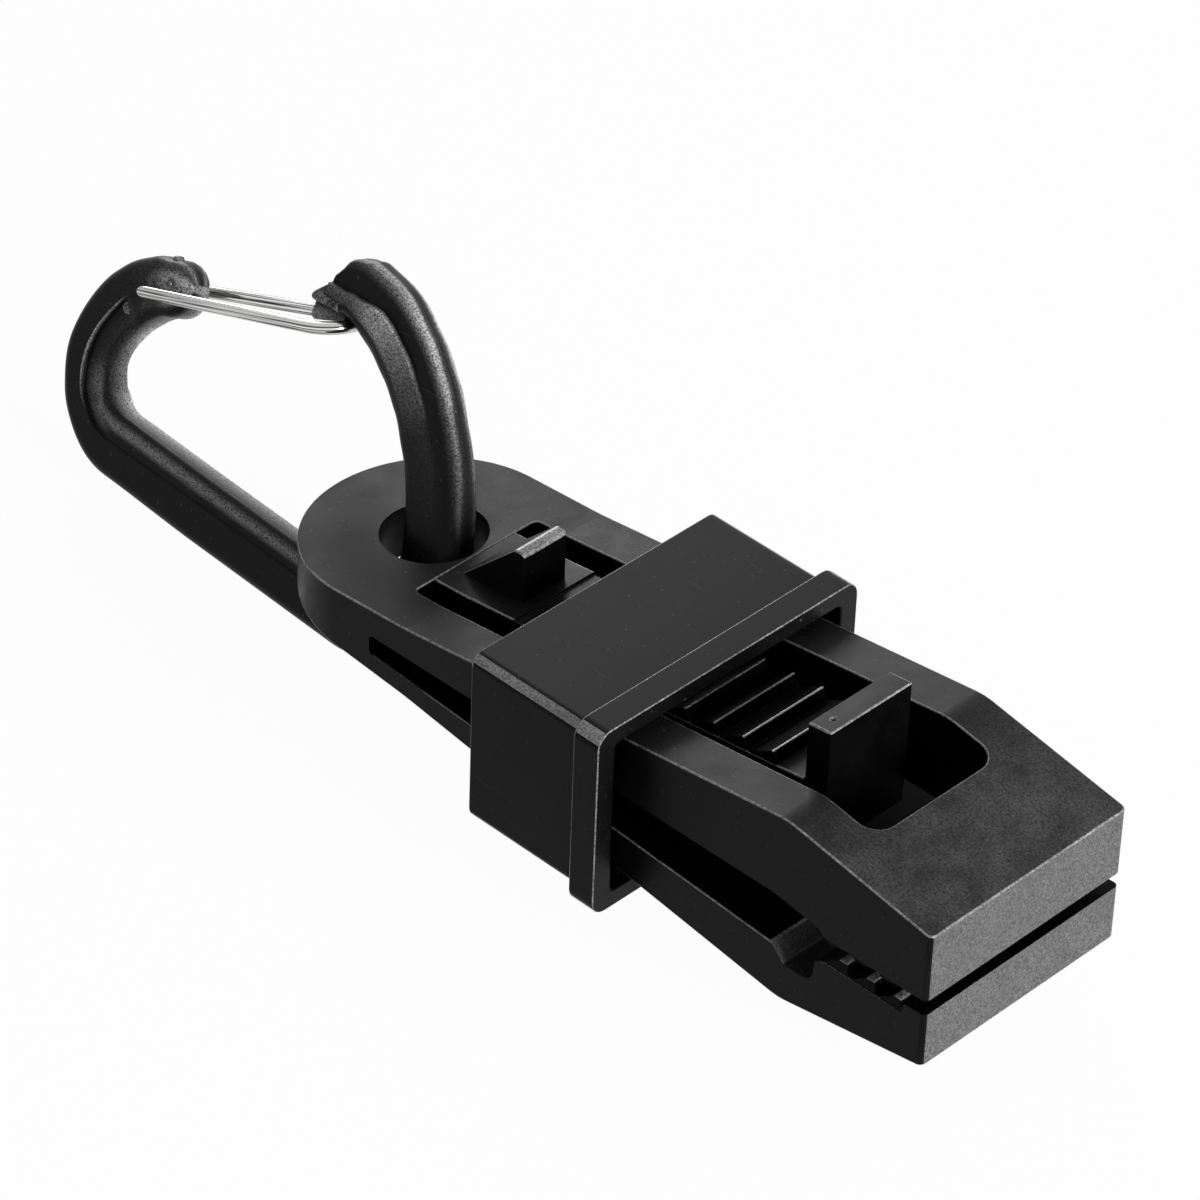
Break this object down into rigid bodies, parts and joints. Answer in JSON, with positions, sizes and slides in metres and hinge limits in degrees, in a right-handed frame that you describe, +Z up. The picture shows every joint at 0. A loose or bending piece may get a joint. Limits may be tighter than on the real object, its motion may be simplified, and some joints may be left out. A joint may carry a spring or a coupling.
{
  "type": "awning clamp with carabiner",
  "caption": "Black plastic awning and tarp clamp with toothed jaws, a sliding lock collar on a ratchet tongue, and a wire-gate carabiner in its eye.",
  "frame": {"origin": "centre of the eye hole, on the middle plane of the eye end", "axes": "+X from the eye to the jaw tips, +Y across the clamp, +Z up from the surface that the part lies on, on the side with the release block"},
  "size_m": [0.1462, 0.0396, 0.0346],
  "materials": {
    "clamp_nylon": "satin",
    "collar_nylon": "satin",
    "carabiner_nylon": "fine grain",
    "gate_steel": "polished"
  },
  "bodies": {
    "tail": {"clamp_tail": "clamp_nylon"},
    "upper_arm": {"upper_jaw": "clamp_nylon"},
    "lower_arm": {"lower_jaw": "clamp_nylon"},
    "tongue": {"latch_tongue": "clamp_nylon"},
    "collar": {"lock_collar": "collar_nylon"},
    "carabiner": {"carabiner_body": "carabiner_nylon"},
    "gate": {"gate_wire": "gate_steel"}
  },
  "joints": [
    {"name": "collar_slide", "type": "slide", "parent": "tail", "child": "collar", "axis": [1, 0, 0], "range_m": [-0.0072, 0.007]},
    {"name": "upper_arm_flex", "type": "hinge", "parent": "tail", "child": "upper_arm", "pos_m": [0.008, 0, 0.00254], "axis": [0, 1, 0], "range_deg": [-0.6, 0.55]},
    {"name": "lower_arm_flex", "type": "hinge", "parent": "tail", "child": "lower_arm", "pos_m": [0.008, 0, -0.00332], "axis": [0, -1, 0], "range_deg": [-0.6, 0.55]},
    {"name": "latch_press", "type": "hinge", "parent": "tail", "child": "tongue", "pos_m": [0.00711, 0, 0.00233], "axis": [0, 1, 0], "range_deg": [0, 4], "stiffness_Nm_per_rad": 2, "springref_deg": -1.15},
    {"name": "carabiner_swing", "type": "hinge", "parent": "tail", "child": "carabiner", "pos_m": [0, 0, 0], "axis": [0, 0, 1], "range_deg": [-60, 60]},
    {"name": "gate_open", "type": "hinge", "parent": "carabiner", "child": "gate", "pos_m": [-0.0522, 0.00588, 0.00566], "axis": [0.0458, 0.8734, -0.4848], "range_deg": [0, 38], "stiffness_Nm_per_rad": 0.01, "springref_deg": -11.46}
  ],
  "couplings": [
    {"joint": "upper_arm_flex", "follows": "collar_slide", "rad_per_m": 1.2467},
    {"joint": "lower_arm_flex", "follows": "collar_slide", "rad_per_m": 1.2467}
  ]
}
